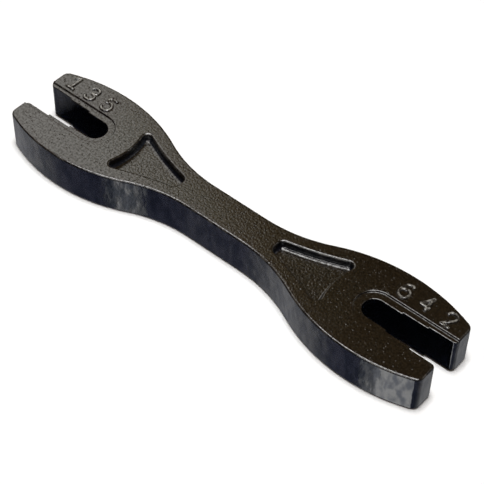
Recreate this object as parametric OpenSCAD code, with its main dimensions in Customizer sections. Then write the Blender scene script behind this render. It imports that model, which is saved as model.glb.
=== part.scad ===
// Double-ended spoke wrench: one cast body with three stepped jaws in each head.
// It lies flat, with X along its length, +Z up and the origin under its middle.
// All lengths are in millimetres.

/* [Body] */
// Overall length, tip to tip
overall_l = 110; // [106:0.5:118]
// Thickness between the two faces
body_t = 9.5; // [8:0.1:14]
// Width of the straight grip at the middle
waist_w = 8.3; // [6.6:0.1:9.6]
// Length of the straight run of the grip
waist_l = 14.2; // [8:0.1:20]

/* [Heads] */
// Greatest width of each head
head_w = 23.3; // [22:0.1:26]
// Distance from the middle to the widest place of a head
head_x = 39.5; // [37:0.1:42]
// Radius of the long outer curve of a head
head_r = 40; // [36:0.5:46]
// Radius of the outer corners of the tips
tip_r = 1.74; // [1:0.01:2.4]
// Radius of the corners at the mouth of a slot
mouth_r = 1.1; // [0.6:0.1:1.6]

/* [Jaws] */
// Jaw 1, at the mouth of the first head
jaw_1 = 7.1; // [6.9:0.1:7.6]
// Jaw 2, at the mouth of the second head
jaw_2 = 6.7; // [6.5:0.1:7.2]
// Jaw 3, half way into the first head
jaw_3 = 6.3; // [6.1:0.1:6.8]
// Jaw 4, half way into the second head
jaw_4 = 5.9; // [5.7:0.1:6.4]
// Jaw 5, at the root of the first head
jaw_5 = 5.5; // [4.8:0.1:6]
// Jaw 6, at the root of the second head
jaw_6 = 5.1; // [4.4:0.1:5.6]
// Depth of the mouth jaws, from the tip
mouth_l = 6.5; // [5:0.1:7.5]
// Depth of the middle jaws
middle_l = 5.9; // [4.5:0.1:6.5]
// Straight depth of the root jaws, up to the round end
root_l = 4.8; // [3.6:0.1:5.2]

/* [Jaw lands] */
// Width of the sunk land round each slot
land_w = 8.6; // [8.2:0.1:9.4]
// Depth of the land below the face
land_d = 0.45; // [0.45:0.05:0.9]

/* [Pockets] */
// Distance from the middle to the nose of a pocket
pocket_x = 13; // [11:0.1:14]
// Length of a pocket from its nose to the middle of its base
pocket_l = 14.5; // [13:0.1:15.6]
// Width of a pocket across its nose
nose_w = 3.2; // [2.6:0.1:3.8]
// Width of a pocket across its base, before the corners are rounded
base_w = 14.7; // [12:0.1:15]
// Depth of a pocket below the face
pocket_d = 2; // [0.8:0.1:3.4]
// Radius of the corners at the nose
nose_r = 1.2; // [0.6:0.1:1.25]
// Radius of the corners at the base
corner_r = 1.1; // [0.6:0.1:1.6]
// Radius of the long sides of a pocket, which bow inwards
side_r = 70; // [50:1:100]
// Radius of the base of a pocket, which bows inwards
base_r = 15; // [12:0.5:24]

/* [Hidden] */
$fn = 96;
// How far a cutter runs past the face that it cuts
overrun = 1;
// How far a pocket's corner circles run into its sides, so that no sliver is left between them
lap = 0.001;
half_l = overall_l / 2;

// A head's outer curve and the grip's hollow curve touch, which sets the hollow's radius.
swell = (head_w - waist_w) / 2;
head_c = [head_x, head_w / 2 - head_r];
waist_r = (pow(head_x - waist_l / 2, 2) + pow(swell, 2)) / (2 * swell) - head_r;
waist_c = [waist_l / 2, waist_w / 2 + waist_r];
blend = waist_c + (head_c - waist_c) * waist_r / (waist_r + head_r);

// A tip's corner circle touches the head's outer curve from inside, and the flat end.
tip_x = half_l - tip_r;
tip_c = [tip_x, head_c[1] + sqrt(pow(head_r - tip_r, 2) - pow(tip_x - head_x, 2))];
tip_far = 2 * tip_c - head_c;

// Both slots have their steps at the same places.
step_1_x = half_l - mouth_l;
step_2_x = step_1_x - middle_l;
root_x = step_2_x - root_l;

// A pocket's long side runs from the end of the nose to the end of the base.
// Its corner circles touch the long side, and the nose or the base.
nose_end = [pocket_x, nose_w / 2];
base_c = [pocket_x + pocket_l + base_r, 0];
base_end = [base_c[0] - sqrt(pow(base_r, 2) - pow(base_w / 2, 2)), base_w / 2];
side_c = meet(nose_end, side_r, base_end, side_r);
nose_x = pocket_x + nose_r;
nose_c = [nose_x, side_c[1] - sqrt(pow(side_r + nose_r, 2) - pow(nose_x - side_c[0], 2))];
corner_c = meet(base_c, base_r + corner_r, side_c, side_r + corner_r);
nose_t = nose_c + (side_c - nose_c) * nose_r / (side_r + nose_r);
side_t = corner_c + (side_c - corner_c) * corner_r / (side_r + corner_r);
base_t = corner_c + (base_c - corner_c) * corner_r / (base_r + corner_r);

// The point at ra from a and rb from b, on the left when going from a to b
function meet(a, ra, b, rb) =
    let (
        d = norm(b - a),
        u = (b - a) / d,
        along = (d * d + ra * ra - rb * rb) / (2 * d),
        aside = sqrt(ra * ra - along * along)
    )
    a + along * u + aside * [-u[1], u[0]];

function flip(p) = [p[0], -p[1]];

module both_ways(axis) {
    children();
    mirror(axis) children();
}

// Straight grip that hollows out towards the heads
module grip_plan() {
    difference() {
        square([2 * blend[0], head_w], center = true);
        both_ways([0, 1]) {
            both_ways([1, 0]) translate(waist_c) circle(r = waist_r);
            translate([-waist_c[0], waist_w / 2]) square([2 * waist_c[0], waist_r]);
        }
    }
}

// What rounding takes off the outer corner of a tip
module tip_corner_cut() {
    difference() {
        polygon([tip_c, [tip_far[0], tip_c[1]], tip_far]);
        translate(tip_c) circle(r = tip_r);
    }
}

// Head between its two long curves, from the blend to the flat end
module head_plan() {
    difference() {
        intersection() {
            translate(head_c) circle(r = head_r);
            translate(flip(head_c)) circle(r = head_r);
            translate([blend[0], -head_w / 2]) square([half_l - blend[0], head_w]);
        }
        both_ways([0, 1]) tip_corner_cut();
    }
}

// What rounding takes off a corner at the mouth of a slot
module mouth_corner_cut(mouth_w) {
    difference() {
        translate([half_l - mouth_r, mouth_w / 2 - overrun]) square(mouth_r + overrun);
        translate([half_l - mouth_r, mouth_w / 2 + mouth_r]) circle(r = mouth_r);
    }
}

// Slot with three widths and a round root
module slot_plan(mouth_w, middle_w, root_w) {
    translate([root_x, 0]) circle(r = root_w / 2);
    translate([root_x, -root_w / 2]) square([half_l - root_x, root_w]);
    translate([step_2_x, -middle_w / 2]) square([half_l - step_2_x, middle_w]);
    translate([step_1_x, -mouth_w / 2]) square([mouth_l + overrun, mouth_w]);
    both_ways([0, 1]) mouth_corner_cut(mouth_w);
}

// Land that follows the root of a slot
module land_plan() {
    translate([root_x, 0]) circle(r = land_w / 2);
    translate([root_x, -land_w / 2]) square([half_l - root_x + overrun, land_w]);
}

// Three-cornered pocket with a blunt nose and bowed sides
module pocket_plan() {
    difference() {
        polygon([
            [pocket_x, nose_c[1]], nose_t, side_t, base_t,
            flip(base_t), flip(side_t), flip(nose_t), [pocket_x, -nose_c[1]]
        ]);
        both_ways([0, 1]) translate(side_c) circle(r = side_r);
        translate(base_c) circle(r = base_r);
    }
    both_ways([0, 1]) {
        translate(nose_c) circle(r = nose_r + lap);
        translate(corner_c) circle(r = corner_r + lap);
    }
}

// All that is cut into the upper face
module face_cuts() {
    translate([0, 0, body_t])
        both_ways([1, 0, 0]) {
            translate([0, 0, -land_d]) linear_extrude(land_d + overrun) land_plan();
            translate([0, 0, -pocket_d]) linear_extrude(pocket_d + overrun) pocket_plan();
        }
}

module through_slots() {
    translate([0, 0, -overrun]) linear_extrude(body_t + 2 * overrun) {
        mirror([1, 0]) slot_plan(jaw_1, jaw_3, jaw_5);
        slot_plan(jaw_2, jaw_4, jaw_6);
    }
}

module wrench_body() {
    color([0.13, 0.13, 0.14])
        difference() {
            linear_extrude(body_t) {
                grip_plan();
                both_ways([1, 0]) head_plan();
            }
            through_slots();
            face_cuts();
            translate([0, 0, body_t]) mirror([0, 0, 1]) face_cuts();
        }
}

wrench_body();
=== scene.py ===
import math

import bmesh
import bpy
from mathutils import Matrix, Vector


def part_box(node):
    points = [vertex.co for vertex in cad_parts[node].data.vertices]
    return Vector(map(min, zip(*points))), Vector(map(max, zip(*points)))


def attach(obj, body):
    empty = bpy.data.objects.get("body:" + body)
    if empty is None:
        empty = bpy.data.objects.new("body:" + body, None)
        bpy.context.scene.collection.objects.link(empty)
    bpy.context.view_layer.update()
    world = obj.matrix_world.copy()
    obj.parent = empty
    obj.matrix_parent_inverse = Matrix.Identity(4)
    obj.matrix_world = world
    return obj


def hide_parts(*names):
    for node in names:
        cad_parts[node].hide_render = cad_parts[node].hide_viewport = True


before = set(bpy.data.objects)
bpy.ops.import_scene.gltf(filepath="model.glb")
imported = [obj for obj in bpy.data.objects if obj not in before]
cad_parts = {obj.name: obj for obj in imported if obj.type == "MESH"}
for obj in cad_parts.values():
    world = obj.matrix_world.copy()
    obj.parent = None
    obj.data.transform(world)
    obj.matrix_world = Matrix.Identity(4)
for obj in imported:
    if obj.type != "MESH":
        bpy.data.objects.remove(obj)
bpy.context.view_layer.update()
mm = 0.001
white = (1, 1, 1, 1)
black = (0, 0, 0, 1)
rangeSockets = ("From Min", "From Max", "To Min", "To Max")
faceLow, faceHigh = (corner.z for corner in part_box("wrench_body"))
print("frame loaded, face at", round(faceHigh / mm, 2), "mm")


def deselectAll():
    if bpy.context.object and bpy.context.object.mode != "OBJECT":
        bpy.ops.object.mode_set(mode="OBJECT")
    bpy.ops.object.select_all(action="DESELECT")


def makeActive(piece):
    deselectAll()
    piece.select_set(True)
    bpy.context.view_layer.objects.active = piece


def selectEdges(piece, wanted):  # edges by place or angle, in edit mode
    bpy.ops.mesh.select_all(action="DESELECT")
    bpy.ops.mesh.select_mode(type="EDGE")
    mesh = bmesh.from_edit_mesh(piece.data)
    for edge in mesh.edges:
        edge.select_set(len(edge.link_faces) == 2 and wanted(edge))
    bmesh.update_edit_mesh(piece.data)


# Wrench: one quarter of the casting is rounded off, then mirrored
wrenchSettings = {
    "mergeGap": 0.002 * mm,
    "flatAngle": math.radians(0.5),
    "rimAngle": math.radians(40),
    "levelGap": 0.01 * mm,
    "mouthCorner": Vector((55, 4.3, 0)) * mm,  # where a land's wall meets the tip
    "mouthReach": 0.38 * mm,
    "pocketEnd": 33 * mm,  # between a pocket and a land
    "outward": 0.6,  # beside the pockets, the outline's walls face out more than this
    "outwardPast": 0.02,  # and past them, where only a land's walls face in
    "pocketRoot": 0.85 * mm,
    "pocketRim": 0.45 * mm,
    "landRoot": 0.15 * mm,
    "landRim": 0.24 * mm,
    "slotRim": 0.2 * mm,
    "outerRim": 0.45 * mm,
    "rootSteps": 5,
    "rimSteps": 4,
    "smoothAngle": math.radians(35),
}


def cutLevels(node):  # heights of the flat faces, lowest first
    found = sorted({round(v.co.z / mm, 3) for v in node.data.vertices})
    return [level * mm for level in found]


def gatherMouth(piece, level, s):  # short facets would cross when the rims are rounded
    mesh = bmesh.from_edit_mesh(piece.data)
    for side in (-1, 1):
        corner = Vector((side * s["mouthCorner"].x, s["mouthCorner"].y, level))
        near = [v for v in mesh.verts if (v.co - corner).length < s["mouthReach"]]
        bmesh.ops.pointmerge(mesh, verts=near, merge_co=corner)
    bmesh.update_edit_mesh(piece.data)


def makeWrench(s):
    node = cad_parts["wrench_body"]
    pocketFloor, land = cutLevels(node)[-3:-1]
    middle = (faceLow + faceHigh) / 2
    wrench = bpy.data.objects.new("wrench", node.data.copy())
    bpy.context.scene.collection.objects.link(wrench)
    makeActive(wrench)
    bpy.ops.object.mode_set(mode="EDIT")
    bpy.ops.mesh.select_all(action="SELECT")
    bpy.ops.mesh.remove_doubles(threshold=s["mergeGap"])
    bpy.ops.mesh.select_all(action="SELECT")
    bpy.ops.mesh.bisect(plane_co=(0, 0, 0), plane_no=(0, 1, 0), clear_inner=True)
    bpy.ops.mesh.select_all(action="SELECT")
    bpy.ops.mesh.bisect(plane_co=(0, 0, middle), plane_no=(0, 0, 1), clear_inner=True)
    bpy.ops.mesh.select_all(action="SELECT")
    bpy.ops.mesh.dissolve_limited(angle_limit=s["flatAngle"])
    gatherMouth(wrench, faceHigh, s)
    gatherMouth(wrench, land, s)

    def lies(edge, height):
        return all(abs(v.co.z - height) < s["levelGap"] for v in edge.verts)

    def hollow(edge):
        return edge.calc_face_angle_signed(0) < -s["rimAngle"]

    def crest(edge):
        return edge.calc_face_angle_signed(0) > s["rimAngle"]

    def wallBeside(edge):
        return min(edge.link_faces, key=lambda face: abs(face.normal.z)).normal

    def rimOf(edge):  # which rounding a crest gets
        wall = wallBeside(edge)
        if lies(edge, land):
            return "slotRim"
        if not lies(edge, faceHigh):
            return "landRim"
        if abs(edge.verts[0].co.x) < s["pocketEnd"]:
            return "outerRim" if wall.y > s["outward"] else "pocketRim"
        atTip = all(abs(v.co.x) > s["mouthCorner"].x - s["levelGap"] for v in edge.verts)
        return "outerRim" if atTip or wall.y > s["outwardPast"] else "landRim"

    selectEdges(wrench, lambda e: hollow(e) and lies(e, pocketFloor))
    bpy.ops.mesh.bevel(offset=s["pocketRoot"], segments=s["rootSteps"], clamp_overlap=False)
    mesh = bmesh.from_edit_mesh(wrench.data)
    weight = mesh.edges.layers.float.new("bevel_weight_edge")
    for edge in mesh.edges:
        upper = all(v.co.z > land - s["levelGap"] for v in edge.verts)
        if upper and len(edge.link_faces) == 2 and crest(edge):
            edge[weight] = s[rimOf(edge)] / s["outerRim"]
    bmesh.update_edit_mesh(wrench.data)
    bpy.ops.object.mode_set(mode="OBJECT")
    rims = wrench.modifiers.new("rims", "BEVEL")
    rims.limit_method = "WEIGHT"
    rims.width = s["outerRim"]
    rims.segments = s["rimSteps"]
    rims.use_clamp_overlap = False
    bpy.ops.object.modifier_apply(modifier=rims.name)
    bpy.ops.object.mode_set(mode="EDIT")
    selectEdges(wrench, lambda e: hollow(e) and lies(e, land))
    bpy.ops.mesh.bevel(offset=s["landRoot"], segments=s["rimSteps"], clamp_overlap=False)
    bpy.ops.object.mode_set(mode="OBJECT")
    wrench.data.transform(Matrix.Translation((0, 0, -middle)))
    halves = wrench.modifiers.new("halves", "MIRROR")
    halves.use_axis = (False, True, True)
    halves.merge_threshold = s["mergeGap"]
    bpy.ops.object.modifier_apply(modifier=halves.name)
    wrench.data.transform(Matrix.Translation((0, 0, middle)))
    print("wrench:", len(wrench.data.polygons), "faces")
    return wrench


wrench = makeWrench(wrenchSettings)


# Numbers: strokes laid half into the face, cast in one with the wrench
numberSettings = {
    "height": 3.7 * mm,
    "width": 2.3 * mm,
    "stroke": 0.44 * mm,
    "sink": 0.08 * mm,
    "roundSteps": 3,
    "curveSteps": 5,
    "places": {  # left end and foot, in millimetres
        "1": (-51.9, 5.4), "3": (-46.6, 5.2), "5": (-41.5, 5.1),
        "6": (38.8, 5.5), "4": (43.9, 5.7), "2": (49.5, 5.2),
    },
}
strokes = {  # in shares of a number's width and height
    "1": [[(0.02, 0.76), (0.35, 0.88), (0.58, 1.0)],
          [(0.58, 1.0), (0.58, 0.5), (0.58, 0.0)],
          [(0.08, 0.0), (1.0, 0.0)]],
    "2": [[(0.03, 0.74), (0.2, 0.94), (0.5, 1.0), (0.84, 0.92), (0.96, 0.7), (0.76, 0.46),
           (0.36, 0.2), (0.04, 0.0)],
          [(0.04, 0.0), (1.0, 0.0)]],
    "3": [[(0.03, 0.8), (0.2, 0.96), (0.5, 1.0), (0.84, 0.93), (0.94, 0.76), (0.78, 0.58), (0.42, 0.53)],
          [(0.42, 0.53), (0.8, 0.48), (1.0, 0.28), (0.84, 0.06), (0.48, 0.0), (0.16, 0.05), (0.0, 0.22)]],
    "4": [[(0.7, 1.0), (0.35, 0.62), (0.0, 0.26)],
          [(0.0, 0.26), (1.0, 0.26)],
          [(0.7, 1.0), (0.7, 0.5), (0.7, 0.0)]],
    "5": [[(0.12, 1.0), (0.94, 1.0)],
          [(0.12, 1.0), (0.08, 0.8), (0.05, 0.54)],
          [(0.05, 0.54), (0.28, 0.64), (0.6, 0.64), (0.9, 0.5), (1.0, 0.3), (0.84, 0.07),
           (0.48, 0.0), (0.14, 0.06), (0.0, 0.2)]],
    "6": [[(0.92, 0.9), (0.66, 1.0), (0.34, 0.94), (0.08, 0.66), (0.0, 0.34), (0.12, 0.1), (0.48, 0.0),
           (0.86, 0.08), (1.0, 0.32), (0.86, 0.54), (0.5, 0.6), (0.16, 0.5), (0.0, 0.34)]],
}


def makeNumber(sign, s):
    drawing = bpy.data.curves.new("number" + sign, "CURVE")
    drawing.dimensions = "3D"
    drawing.bevel_depth = s["stroke"]
    drawing.bevel_resolution = s["roundSteps"]
    drawing.resolution_u = s["curveSteps"]
    drawing.use_fill_caps = True
    left, foot = s["places"][sign]
    for stroke in strokes[sign]:
        line = drawing.splines.new("BEZIER")
        line.bezier_points.add(len(stroke) - 1)
        for point, (across, up) in zip(line.bezier_points, stroke):
            point.co = (left * mm + across * s["width"], foot * mm + up * s["height"], faceHigh - s["sink"])
            point.handle_left_type = point.handle_right_type = "AUTO"
    number = bpy.data.objects.new("number" + sign, drawing)
    bpy.context.scene.collection.objects.link(number)
    makeActive(number)
    bpy.ops.object.convert(target="MESH")
    return bpy.context.object


def castOn(piece, parts):  # union of the parts with the piece
    makeActive(parts[0])
    for part in parts:
        part.select_set(True)
    bpy.ops.object.join()
    makeActive(piece)
    cast = piece.modifiers.new("cast", "BOOLEAN")
    cast.operation = "UNION"
    cast.solver = "EXACT"
    cast.use_self = True
    cast.object = parts[0]
    bpy.ops.object.modifier_apply(modifier=cast.name)
    bpy.data.objects.remove(parts[0])


castOn(wrench, [makeNumber(sign, numberSettings) for sign in strokes])
makeActive(wrench)
bpy.ops.object.shade_smooth_by_angle(angle=wrenchSettings["smoothAngle"])
weigh = wrench.modifiers.new("weigh", "WEIGHTED_NORMAL")
weigh.keep_sharp = True
bpy.ops.object.modifier_apply(modifier=weigh.name)
print("numbers cast on:", len(wrench.data.polygons), "faces")


# Finish: a thin black coat over cast grain, warm on the faces and smoother on the walls, with a cooler,
# darker colour on the walls as painted shade
coatSettings = {
    "ior": 1.8,
    "face": (0.0145, 0.0098, 0.005, 1),
    "faceDark": (0.006, 0.004, 0.002, 1),
    # painted shade: the walls' cooler, darker colour stands in for the cool shade they mirror
    "wall": (0.0032, 0.0042, 0.0075, 1),
    "worn": (0.05, 0.045, 0.038, 1),
    "bareAndHighlight": (0.22, 0.21, 0.19, 1),  # tops of the numbers, worn to the metal and lighter, partly a painted highlight
    "cavityShadeShine": (0.47, 0.47, 0.46, 1),  # painted shade: in the hollows of the grain, less than the full shine
    "blotchShine": (0.28, 0.32, 0.4, 1),  # in the dull blotches of the walls
    "rootShadeShine": (0.7, 0.69, 0.67, 1),  # painted shade: less shine in the round roots of the pockets
    "rootDarkShadeShine": (0.25, 0.24, 0.23, 1),
    "faceRough": (0.1, 0.14),
    "wallRough": (0.08, 0.13),
    "matteMost": 0.1,
    "bareAndHighlightFrom": (0.25 * mm, 0.33 * mm),  # above the face
    "sunkFrom": (3.9 * mm, 4.3 * mm),  # from the middle: below it the pockets, which are rougher
    "flatTilt": (0.15, 0.95),  # how level a surface is, from 0 on the walls to 1 on the faces
    "edgeRise": (0.05, 0.4),
    "edgeFall": (0.75, 0.97),
    "sunkTilt": (0.05, 0.3),
    "rootTilt": (0.9, 0.985),
    "grain": (2100, 3),  # scale and detail of each texture
    "cavities": (2000, 3),
    "mottle": (2200, 3),
    "wear": (700, 3),
    "rubAndGlint": (1300, 2),
    "matte": (2300, 2),
    "patches": (140, 3),
    "streaks": (900, 2),
    "waves": (700, 5),
    "blotches": (500, 4),
    "streakPull": (1, 1, 0.12),  # drawn out in height
    "wavePull": (1, 1, 0.6),
    "blotchPull": (1, 1, 0.5),
    "blotchShift": 19 * mm,
    "cavityRange": (0.36, 0.6),  # where a texture goes from none to full
    "mottleRange": (0.38, 0.62),
    "wearRange": (0.42, 0.68),
    "rubAndGlintRange": (0.42, 0.6),
    "matteRange": (0.52, 0.72),
    "patchRange": (0.3, 0.7),
    "streakRange": (0.35, 0.65),
    "blotchRange": (0.4, 0.6),
    "rubAndGlintLeast": 0.05,
    "pits": (2000, 0.45, 0.2),  # scale, radius and share of the cells
    "specks": (420, 0.1, 0.5),
    "grainLift": 0.03 * mm,
    "pitLift": 0.035 * mm,
    "speckLift": 0.06 * mm,
    "waveLift": 0.08 * mm,
    "wallGrain": 0.06,  # shares of the lifts that the walls get
    "wallPits": 0.05,
    "wallSpecks": 0.1,
    "sunkGrain": 1.6,  # and of the grain in the pockets
}


def makeCoat(s):
    coat = bpy.data.materials.new("blackCoat")
    coat.use_nodes = True
    nodes, wires = coat.node_tree.nodes, coat.node_tree.links
    shader = nodes["Principled BSDF"]
    shader.inputs["IOR"].default_value = s["ior"]
    place = nodes.new("ShaderNodeTexCoord").outputs["Object"]

    def link(source, target):
        wires.new(source, target)
        return target.node

    def noise(scale, detail, stretch=None, shift=0):
        source = place
        if stretch:
            squeeze = nodes.new("ShaderNodeMapping")
            squeeze.inputs["Scale"].default_value = stretch
            squeeze.inputs["Location"].default_value.x = shift
            source = link(place, squeeze.inputs["Vector"]).outputs["Vector"]
        cloud = nodes.new("ShaderNodeTexNoise")
        cloud.inputs["Scale"].default_value = scale
        cloud.inputs["Detail"].default_value = detail
        link(source, cloud.inputs["Vector"])
        return cloud.outputs["Fac"]

    def remap(source, low, high, toLow, toHigh, smooth=False):
        stretch = nodes.new("ShaderNodeMapRange")
        stretch.interpolation_type = "SMOOTHSTEP" if smooth else "LINEAR"
        for name, value in zip(rangeSockets, (low, high, toLow, toHigh)):
            stretch.inputs[name].default_value = value
        link(source, stretch.inputs["Value"])
        return stretch.outputs["Result"]

    def math2(kind, first, second):
        step = nodes.new("ShaderNodeMath")
        step.operation = kind
        for socket, value in zip(step.inputs, (first, second)):
            if isinstance(value, (int, float)):
                socket.default_value = value
            else:
                link(value, socket)
        return step.outputs["Value"]

    def blend(share, first, second):
        mix = nodes.new("ShaderNodeMix")
        mix.data_type = "RGBA"
        link(share, mix.inputs["Factor"])
        for name, value in (("A", first), ("B", second)):
            socket = next(i for i in mix.inputs if i.name == name and i.type == "RGBA")
            if isinstance(value, tuple):
                socket.default_value = value
            else:
                link(value, socket)
        return next(o for o in mix.outputs if o.type == "RGBA")

    split = nodes.new("ShaderNodeSeparateXYZ")
    link(nodes.new("ShaderNodeNewGeometry").outputs["Normal"], split.inputs["Vector"])
    level = math2("ABSOLUTE", split.outputs["Z"], 0)
    flat = remap(level, *s["flatTilt"], 0, 1, True)
    rising = remap(level, *s["edgeRise"], 0, 1, True)
    edge = math2("MULTIPLY", rising, remap(level, *s["edgeFall"], 1, 0, True))
    height = nodes.new("ShaderNodeSeparateXYZ")
    link(place, height.inputs["Vector"])
    fromMiddle = math2("ABSOLUTE", math2("SUBTRACT", height.outputs["Z"], (faceLow + faceHigh) / 2), 0)
    inside = remap(fromMiddle, *s["sunkFrom"], 1, 0)
    sunk = math2("MULTIPLY", inside, remap(level, *s["sunkTilt"], 0, 1, True))
    root = math2("MULTIPLY", sunk, remap(level, *s["rootTilt"], 1, 0, True))

    def spots(scale, radius, share):  # round spots in some of the cells
        cells = nodes.new("ShaderNodeTexVoronoi")
        cells.inputs["Scale"].default_value = scale
        link(place, cells.inputs["Vector"])
        chance = nodes.new("ShaderNodeSeparateColor")
        link(cells.outputs["Color"], chance.inputs["Color"])
        chosen = math2("LESS_THAN", chance.outputs["Red"], share)
        return math2("MULTIPLY", remap(cells.outputs["Distance"], 0, radius, 1, 0, True), chosen)

    mottle = remap(noise(*s["mottle"]), *s["mottleRange"], 0, 1, True)
    # painted shade: the walls take a cooler, darker colour than the faces' mottled tone
    tone = blend(flat, s["wall"], blend(mottle, s["faceDark"], s["face"]))
    wear = math2("MULTIPLY", edge, remap(noise(*s["wear"]), *s["wearRange"], 0, 1, True))
    wear = math2("MULTIPLY", wear, math2("SUBTRACT", 1, inside))
    tone = blend(wear, tone, s["worn"])
    # painted shade: the round roots of the pockets take the walls' darker colour
    tone = blend(root, tone, s["wall"])
    # the numbers' tops, worn to the metal and lighter in broken patches: partly a painted highlight
    above = math2("SUBTRACT", fromMiddle, (faceHigh - faceLow) / 2)
    rubAndGlint = remap(noise(*s["rubAndGlint"]), *s["rubAndGlintRange"], s["rubAndGlintLeast"], 1)
    bareAndHighlit = math2("MULTIPLY", remap(above, *s["bareAndHighlightFrom"], 0, 1, True), rubAndGlint)
    tone = blend(bareAndHighlit, tone, s["bareAndHighlight"])
    link(tone, shader.inputs["Base Color"])

    cavities = remap(noise(*s["cavities"]), *s["cavityRange"], 0, 1, True)
    blotches = noise(*s["blotches"], s["blotchPull"], s["blotchShift"])
    wallShine = blend(remap(blotches, *s["blotchRange"], 0, 1, True), s["blotchShine"], white)
    # painted shade: the shine is dimmed in the hollows of the grain
    shine = blend(flat, wallShine, blend(cavities, s["cavityShadeShine"], white))
    # painted shade: the shine is dimmed in the round roots of the pockets
    shine = blend(root, shine, blend(cavities, s["rootDarkShadeShine"], s["rootShadeShine"]))
    link(shine, shader.inputs["Specular Tint"])

    matte = remap(noise(*s["matte"]), *s["matteRange"], 0, s["matteMost"], True)  # small dull grains
    dull = math2("ADD", remap(noise(*s["patches"]), *s["patchRange"], *s["faceRough"]), matte)
    sleek = remap(noise(*s["streaks"], s["streakPull"]), *s["streakRange"], *s["wallRough"])
    mixRough = nodes.new("ShaderNodeMix")
    for index, source in ((0, flat), (2, sleek), (3, dull)):  # factor, A and B
        link(source, mixRough.inputs[index])
    link(mixRough.outputs[0], shader.inputs["Roughness"])

    def lift(height, amount, under=None):
        bump = nodes.new("ShaderNodeBump")
        bump.inputs["Distance"].default_value = amount
        link(height, bump.inputs["Height"])
        if under:
            link(under, bump.inputs["Normal"])
        return bump.outputs["Normal"]

    roughened = math2("MULTIPLY", sunk, s["sunkGrain"])
    share = math2("MAXIMUM", remap(flat, 0, 1, s["wallGrain"], 1), roughened)
    rough = math2("MULTIPLY", noise(*s["grain"]), share)
    dents = math2("MULTIPLY", spots(*s["pits"]), remap(flat, 0, 1, -s["wallPits"], -1))
    dots = math2("MULTIPLY", spots(*s["specks"]), remap(flat, 0, 1, s["wallSpecks"], 1))
    sway = math2("MULTIPLY", noise(*s["waves"], s["wavePull"]), math2("SUBTRACT", 1, flat))
    shape = lift(sway, s["waveLift"])
    shape = lift(dents, s["pitLift"], shape)
    shape = lift(dots, s["speckLift"], shape)
    link(lift(rough, s["grainLift"], shape), shader.inputs["Normal"])
    return coat


coat = makeCoat(coatSettings)
wrench.data.materials.clear()
wrench.data.materials.append(coat)
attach(wrench, "root")
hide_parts("wrench_body")

# Floor: pale paper, not seen in the wrench's reflections
floorSettings = {"size": 6.0, "height": -0.01 * mm, "colour": (0.95, 0.95, 0.95, 1), "roughness": 0.9}
deselectAll()
bpy.ops.mesh.primitive_plane_add(size=floorSettings["size"], location=(0, 0, floorSettings["height"]))
floor = bpy.context.object
floor.name = "floor"
paper = bpy.data.materials.new("floorPaper")
paper.use_nodes = True
paperShader = paper.node_tree.nodes["Principled BSDF"]
paperShader.inputs["Base Color"].default_value = floorSettings["colour"]
paperShader.inputs["Roughness"].default_value = floorSettings["roughness"]
floor.data.materials.append(paper)
floor.visible_glossy = False

# Backdrop: a pale dome for views that reach past the floor
backdropSettings = {"radius": 2.9, "glow": 0.9}
deselectAll()
bpy.ops.mesh.primitive_uv_sphere_add(radius=backdropSettings["radius"])
backdrop = bpy.context.object
backdrop.name = "backdrop"
drape = bpy.data.materials.new("backdropPaper")
drape.use_nodes = True
drapeShader = drape.node_tree.nodes["Principled BSDF"]
drapeShader.inputs["Emission Color"].default_value = white
drapeShader.inputs["Emission Strength"].default_value = backdropSettings["glow"]
drape.cycles.emission_sampling = "NONE"
backdrop.data.materials.append(drape)
backdrop.visible_glossy = backdrop.visible_diffuse = backdrop.visible_shadow = False


def direction(turn, rise):  # from the object outwards
    return Vector((math.sin(turn) * math.cos(rise), -math.cos(turn) * math.cos(rise), math.sin(rise)))


# Cards that only the reflections see: black under the slots, a painted shadow that the slot walls mirror,
# bright low in front, and a wide soft one behind on the left. A ramp along its width drives each card.
cardSettings = {
    # painted shadow: a black card under the slots, which the slot walls mirror
    "under": {
        "place": Vector((-2.75, 0, 0.03)) * mm,
        "size": (114.5 * mm, 8.4 * mm),
        "glow": 0,
        "drives": "Alpha",
        "ramp": {0.0: (0, 0, 0), 0.06: (1, 1, 1)},
    },
    "low": {
        "place": Vector((42, -342, -411)) * mm,
        "size": (238 * mm, 260 * mm),
        "glow": 1.7,
        "drives": "Emission Color",
        "ramp": {
            0.0: (0, 0, 0), 0.03: (0.03, 0.03, 0.04), 0.08: (0.37, 0.39, 0.42), 0.11: (0.44, 0.46, 0.49),
            0.15: (0.27, 0.28, 0.3), 0.2: (0.28, 0.28, 0.28), 0.26: (0.45, 0.45, 0.45), 0.33: (1, 1, 1),
        },
    },
    "sheen": {
        "place": direction(math.radians(248), math.radians(44.5)) * 1.2,
        "size": (1.3, 0.6),
        "glow": 1.8,
        "drives": "Emission Color",
        "ramp": {
            0.0: (0, 0, 0), 0.11: (0, 0, 0), 0.14: (0.03, 0.013, 0.002), 0.17: (0.15, 0.095, 0.03),
            0.19: (0.27, 0.22, 0.11), 0.215: (0.275, 0.245, 0.16), 0.25: (1, 0.985, 0.94),
        },
    },
}


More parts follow.
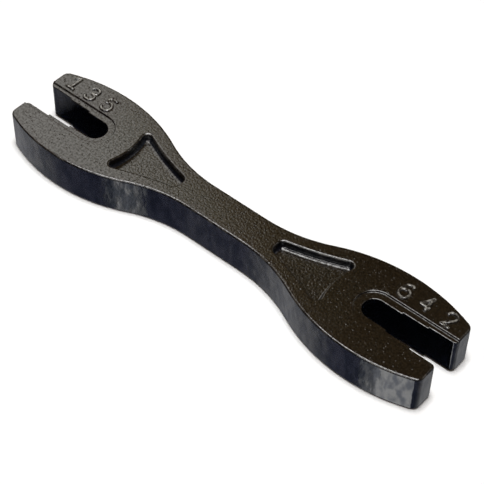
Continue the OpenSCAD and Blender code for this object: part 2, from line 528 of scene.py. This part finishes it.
def makeCard(name, s):
    deselectAll()
    bpy.ops.mesh.primitive_plane_add(size=1, location=s["place"])
    card = bpy.context.object
    card.name = name
    card.scale = (*s["size"], 1)
    if s["glow"]:  # a bright card faces the wrench
        card.rotation_euler = s["place"].to_track_quat("Z", "Y").to_euler()
    skin = bpy.data.materials.new(name + "Skin")
    skin.use_nodes = True
    nodes, wires = skin.node_tree.nodes, skin.node_tree.links
    shader = nodes["Principled BSDF"]
    shader.inputs["Base Color"].default_value = black
    shader.inputs["Roughness"].default_value = 1
    shader.inputs["Specular IOR Level"].default_value = 0
    shader.inputs["Emission Strength"].default_value = s["glow"]
    split = nodes.new("ShaderNodeSeparateXYZ")
    wires.new(nodes.new("ShaderNodeTexCoord").outputs["Object"], split.inputs["Vector"])
    shift = nodes.new("ShaderNodeMath")
    shift.inputs[1].default_value = 0.5  # a card runs from -0.5 to 0.5
    wires.new(split.outputs["X"], shift.inputs[0])
    ramp = nodes.new("ShaderNodeValToRGB")
    stops = ramp.color_ramp.elements
    for share, level in s["ramp"].items():
        stop = stops.new(share) if share else stops[0]
        stop.color = (*level, 1)
    stops[-1].color = stop.color
    wires.new(shift.outputs["Value"], ramp.inputs["Fac"])
    wires.new(ramp.outputs["Color"], shader.inputs[s["drives"]])
    skin.cycles.emission_sampling = "NONE"
    card.data.materials.append(skin)
    card.visible_camera = card.visible_diffuse = card.visible_shadow = False


for name, settings in cardSettings.items():
    makeCard(name, settings)
print("floor, backdrop and cards done")

# Camera
cameraSettings = {
    "turn": math.radians(39.553),
    "rise": math.radians(48.487),
    "roll": math.radians(1.337),
    "distance": 305.24 * mm,
    "aim": Vector((7.39 * mm, -4.13 * mm, faceHigh)),
    "lens": 112.78,
    "sensor": 36,
    "nearClip": 10 * mm,
}


def makeCamera(s):
    back = direction(s["turn"], s["rise"])
    deselectAll()
    bpy.ops.object.camera_add(location=s["aim"] + back * s["distance"])
    camera = bpy.context.object
    turned = (-back).to_track_quat("-Z", "Y").to_matrix() @ Matrix.Rotation(s["roll"], 3, "Z")
    camera.rotation_euler = turned.to_euler()
    camera.data.sensor_width = s["sensor"]
    camera.data.lens = s["lens"]
    camera.data.clip_start = s["nearClip"]
    bpy.context.scene.camera = camera


makeCamera(cameraSettings)
print("camera done")

# Lights: turn and rise in degrees, distance and size in metres, level as the radiance of the panel
lamps = {
    "top": {"turn": -5, "rise": 78.5, "distance": 1.2, "size": (1.25, 0.8), "level": 6.5, "mirrored": True},
    "front": {"turn": 4, "rise": 30, "distance": 1.2, "size": (0.65, 0.22), "level": 6.0, "mirrored": True},
    "side": {"turn": 50, "rise": 52, "distance": 1.2, "size": (0.5, 0.6), "level": 6.0, "mirrored": True},
    "rear": {"turn": 140, "rise": 43, "distance": 1.2, "size": (0.25, 0.3), "level": 1.5, "mirrored": True},
    "sky": {"turn": 0, "rise": 90, "distance": 1.4, "size": (0.35, 0.35), "level": 53.7, "mirrored": False},
}


def makeLamp(name, s):
    out = direction(math.radians(s["turn"]), math.radians(s["rise"]))
    deselectAll()
    bpy.ops.object.light_add(type="AREA", location=out * s["distance"])
    lamp = bpy.context.object
    lamp.name = name
    lamp.rotation_euler = out.to_track_quat("Z", "Y").to_euler()
    lamp.data.shape = "RECTANGLE"
    lamp.data.size, lamp.data.size_y = s["size"]
    lamp.data.energy = s["level"] * math.pi * s["size"][0] * s["size"][1]
    return lamp


for name, settings in lamps.items():
    lamp = makeLamp(name, settings)
    lamp.visible_glossy = settings["mirrored"]  # the sky panel alone lights the floor
    lamp.visible_diffuse = not settings["mirrored"]

# Surroundings: dim above, and below the horizon by azimuth in degrees, as the walls mirror them
roomSettings = {
    "above": (0.07, 0.05, 0.03, 1),
    "fall": (-0.66, -0.58, 1, 0.2),  # full where the walls mirror it, dim towards the horizon
    "horizon": (-0.06, 0.06, 0, 1),
    "below": {
        0: (0.25, 0.25, 0.27), 40: (0.44, 0.44, 0.45), 66: (0.44, 0.44, 0.45), 90: (0.1, 0.1, 0.12),
        120: (0.04, 0.04, 0.06), 150: (0.1, 0.1, 0.12), 180: (0.46, 0.46, 0.48), 207: (0.42, 0.42, 0.44),
        219: (0.26, 0.265, 0.3), 231: (0.15, 0.155, 0.22), 254: (0.12, 0.13, 0.2), 300: (0.12, 0.13, 0.2),
        340: (0.13, 0.14, 0.18),
    },
}


def makeRoom(s):
    room = bpy.data.worlds.new("studio")
    room.use_nodes = True
    nodes, wires = room.node_tree.nodes, room.node_tree.links
    split = nodes.new("ShaderNodeSeparateXYZ")
    wires.new(nodes.new("ShaderNodeTexCoord").outputs["Generated"], split.inputs["Vector"])
    turn = nodes.new("ShaderNodeMath")
    turn.operation = "ARCTAN2"
    wires.new(split.outputs["Y"], turn.inputs[0])
    wires.new(split.outputs["X"], turn.inputs[1])
    share = nodes.new("ShaderNodeMath")
    share.operation = "DIVIDE"
    wires.new(turn.outputs["Value"], share.inputs[0])
    share.inputs[1].default_value = 2 * math.pi
    whole = nodes.new("ShaderNodeMath")
    whole.operation = "FRACT"
    wires.new(share.outputs["Value"], whole.inputs[0])
    ring = nodes.new("ShaderNodeValToRGB")
    stops = ring.color_ramp.elements
    for degrees, glow in s["below"].items():
        stop = stops.new(degrees / 360) if degrees else stops[0]
        stop.color = (*glow, 1)
    stops[-1].position = 1
    stops[-1].color = stops[0].color
    wires.new(whole.outputs["Value"], ring.inputs["Fac"])
    fall = nodes.new("ShaderNodeMapRange")
    for name, value in zip(rangeSockets, s["fall"]):
        fall.inputs[name].default_value = value
    wires.new(split.outputs["Z"], fall.inputs["Value"])
    deep = nodes.new("ShaderNodeMixRGB")
    deep.blend_type = "MULTIPLY"
    deep.inputs["Fac"].default_value = 1
    wires.new(ring.outputs["Color"], deep.inputs["Color1"])
    wires.new(fall.outputs["Result"], deep.inputs["Color2"])
    horizon = nodes.new("ShaderNodeMapRange")
    for name, value in zip(rangeSockets, s["horizon"]):
        horizon.inputs[name].default_value = value
    wires.new(split.outputs["Z"], horizon.inputs["Value"])
    mix = nodes.new("ShaderNodeMixRGB")
    wires.new(horizon.outputs["Result"], mix.inputs["Fac"])
    wires.new(deep.outputs["Color"], mix.inputs["Color1"])
    mix.inputs["Color2"].default_value = s["above"]
    wires.new(mix.outputs["Color"], nodes["Background"].inputs["Color"])
    return room


bpy.context.scene.world = makeRoom(roomSettings)
bpy.context.scene.view_settings.view_transform = "Standard"
print("lights done")
